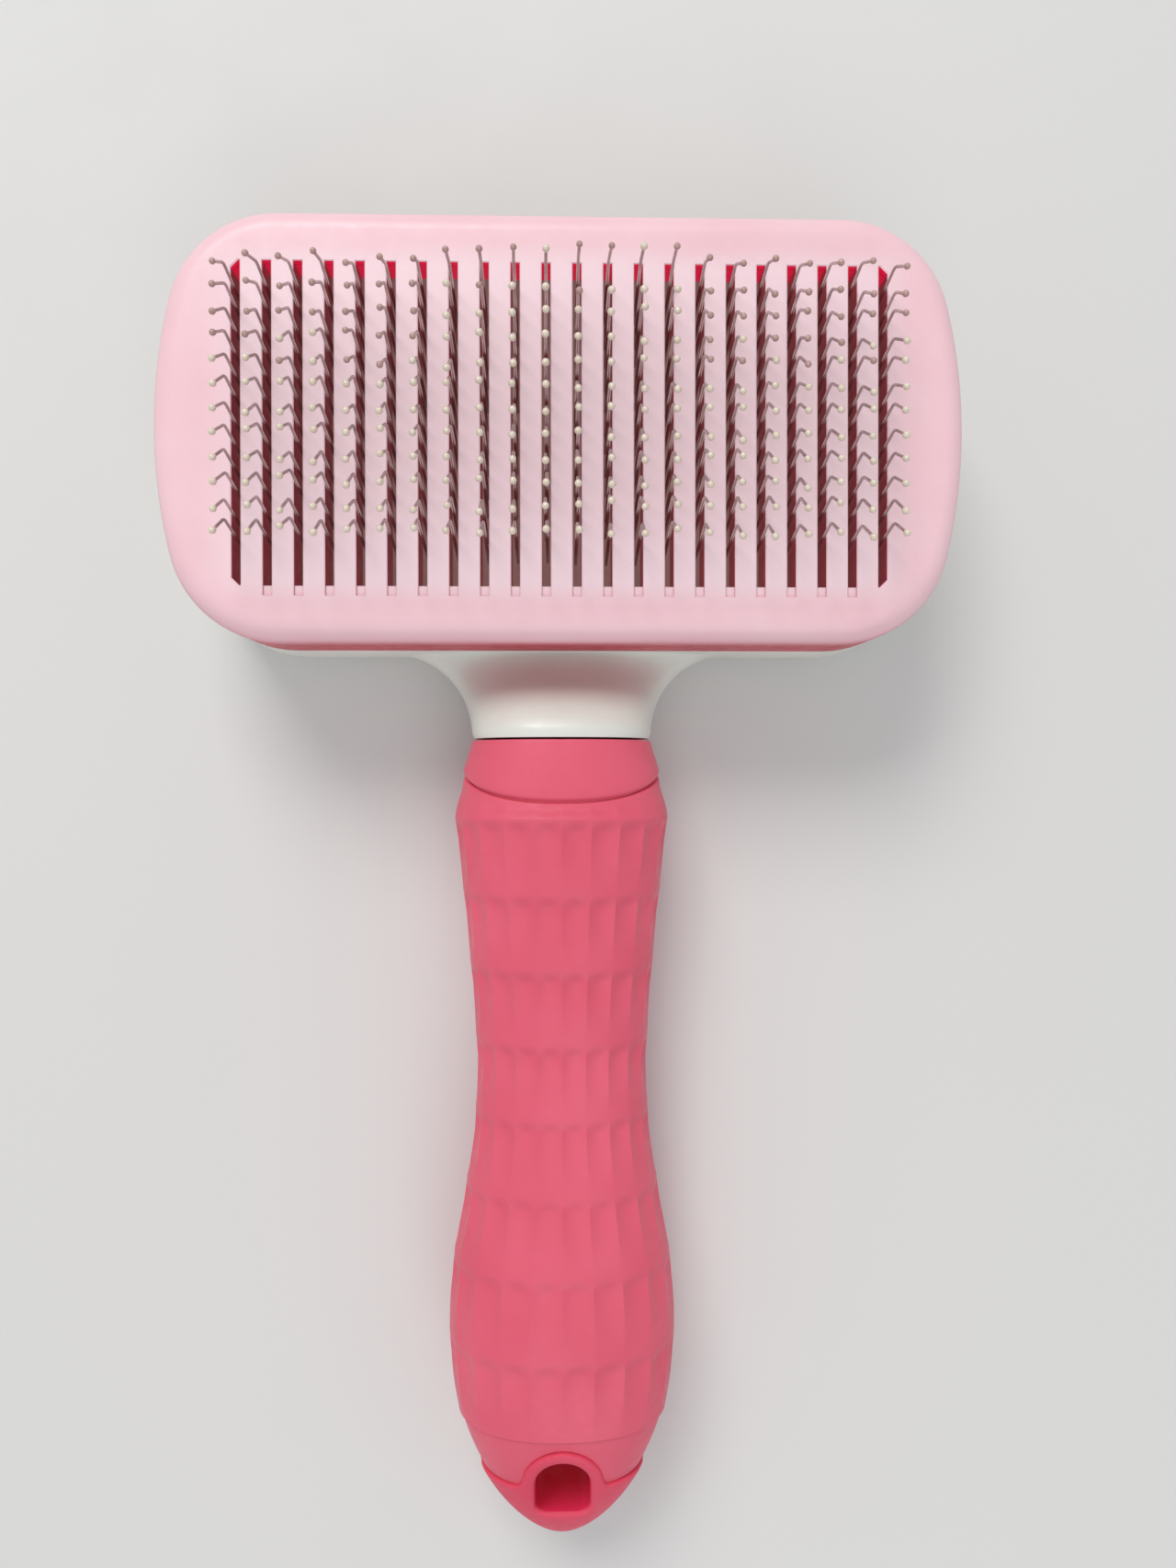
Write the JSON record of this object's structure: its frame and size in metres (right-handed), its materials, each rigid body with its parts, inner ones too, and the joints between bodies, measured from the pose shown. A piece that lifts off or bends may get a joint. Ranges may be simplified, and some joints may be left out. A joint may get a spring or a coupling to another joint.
{
  "type": "slicker brush",
  "caption": "Self-cleaning pet slicker brush: wide slotted head with retracting bent wire pins, a push button on the back and a contoured grip with a hang hole.",
  "frame": {"origin": "middle of the bounding box in X and Y, at its lowest level, with the brush lying on its back", "axes": "+Z from the back towards the pins, +Y from the handle towards the head, +X to the right"},
  "size_m": [0.1052, 0.1794, 0.0388],
  "materials": {
    "pale_pink_plastic": "satin moulded",
    "pink_plastic": "satin moulded",
    "white_plastic": "satin moulded",
    "pink_rubber": "matte",
    "bed_plastic": "matte",
    "grey_plastic": "matte",
    "button_plastic": "satin moulded",
    "pin_wire": "drawn wire with resin tips",
    "steel": "zinc plated"
  },
  "bodies": {
    "housing": {"back_shell": "white_plastic", "middle_frame": "pink_plastic", "face_plate": "pale_pink_plastic", "collar": "pink_plastic", "grip": "pink_rubber", "handle_core": "pink_plastic", "neck_screw": "steel", "latch_pivot": "steel", "guide_post_1": "steel", "guide_post_2": "steel", "guide_post_3": "steel", "guide_post_4": "steel", "return_spring_1": "steel", "return_spring_2": "steel", "return_spring_3": "steel", "return_spring_4": "steel", "housing_screw_1": "steel", "housing_screw_2": "steel", "housing_screw_3": "steel", "housing_screw_4": "steel"},
    "pin_carrier": {"pin_bed": "bed_plastic", "pin_retainer": "grey_plastic", "push_button": "button_plastic", "button_screw": "steel", "carrier_screw_1": "steel", "carrier_screw_2": "steel", "carrier_screw_3": "steel", "carrier_screw_4": "steel", "pin_row_01": "pin_wire", "pin_row_02": "pin_wire", "pin_row_03": "pin_wire", "pin_row_04": "pin_wire", "pin_row_05": "pin_wire", "pin_row_06": "pin_wire", "pin_row_07": "pin_wire", "pin_row_08": "pin_wire", "pin_row_09": "pin_wire", "pin_row_10": "pin_wire", "pin_row_11": "pin_wire", "pin_row_12": "pin_wire", "pin_row_13": "pin_wire", "pin_row_14": "pin_wire", "pin_row_15": "pin_wire", "pin_row_16": "pin_wire", "pin_row_17": "pin_wire", "pin_row_18": "pin_wire", "pin_row_19": "pin_wire", "pin_row_20": "pin_wire", "pin_row_21": "pin_wire", "pin_row_22": "pin_wire"},
    "latch": {"latch_arm": "steel"}
  },
  "joints": [
    {"name": "pin_travel", "type": "slide", "parent": "housing", "child": "pin_carrier", "axis": [0, 0, 1], "range_m": [-0.0105, 0], "deforming": ["return_spring_1", "return_spring_2", "return_spring_3", "return_spring_4"]},
    {"name": "latch_swing", "type": "hinge", "parent": "housing", "child": "latch", "pos_m": [0.0239, 0.062, 0.0032], "axis": [0, 0, 1], "range_deg": [-12.5, 0]}
  ],
  "couplings": [
    {"joint": "latch_swing", "follows": "pin_travel", "rad_per_m": 20.778}
  ]
}
